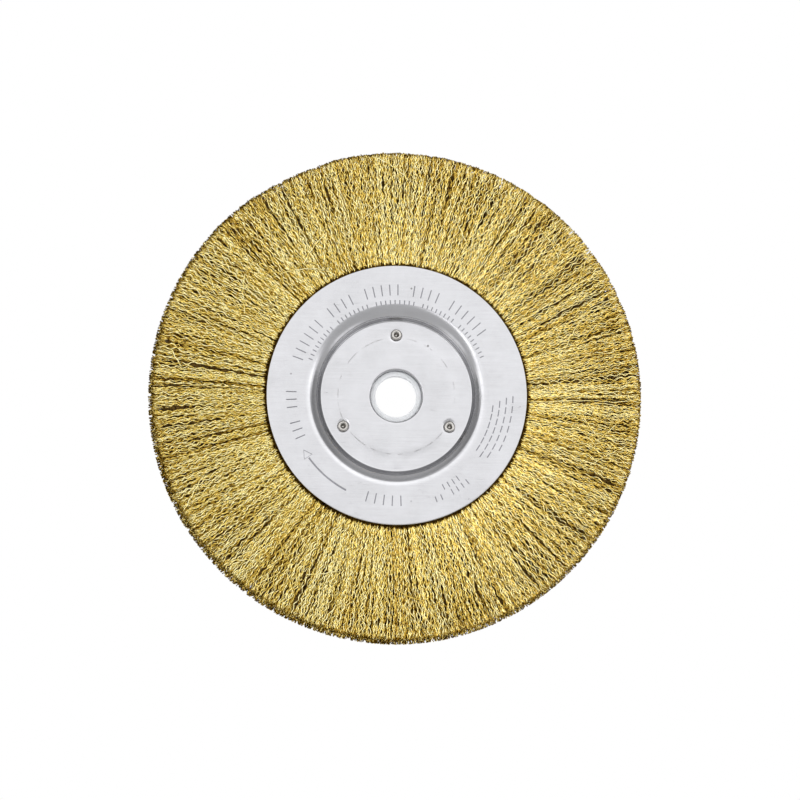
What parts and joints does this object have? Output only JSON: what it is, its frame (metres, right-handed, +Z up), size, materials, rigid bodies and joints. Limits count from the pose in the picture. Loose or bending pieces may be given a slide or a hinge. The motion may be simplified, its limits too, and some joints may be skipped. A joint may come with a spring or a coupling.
{
  "type": "crimped wire wheel",
  "caption": "Round brush of crimped brass-coloured wire held between riveted steel side plates, with a push-in reducing bush; fits the spindle of a bench grinder.",
  "frame": {"origin": "centre of the arbor bore, halfway across the wheel", "axes": "+Y along the axle, with the marked face looking towards -Y; +Z up, through rivet_1"},
  "size_m": [0.1524, 0.019, 0.1524],
  "materials": {
    "plate_steel": "satin",
    "rivet_steel": "satin",
    "inner_steel": "satin",
    "bush_nylon": "matte",
    "brass_wire": "gloss"
  },
  "bodies": {
    "wheel": {"front_plate": "plate_steel", "rear_plate": "plate_steel", "hub_spacer": "inner_steel", "channel_ring": "inner_steel", "core_ring": "inner_steel", "rivet_1": "rivet_steel", "rivet_2": "rivet_steel", "rivet_3": "rivet_steel", "wire_bundle_01": "brass_wire", "wire_bundle_02": "brass_wire", "wire_bundle_03": "brass_wire", "wire_bundle_04": "brass_wire", "wire_bundle_05": "brass_wire", "wire_bundle_06": "brass_wire", "wire_bundle_07": "brass_wire", "wire_bundle_08": "brass_wire", "wire_bundle_09": "brass_wire", "wire_bundle_10": "brass_wire", "wire_bundle_11": "brass_wire", "wire_bundle_12": "brass_wire"},
    "bush": {"reducer_bush": "bush_nylon"}
  },
  "joints": [
    {"name": "bush_slide", "type": "slide", "parent": "wheel", "child": "bush", "axis": [0, -1, 0], "range_m": [-0.014, 0.014]}
  ]
}
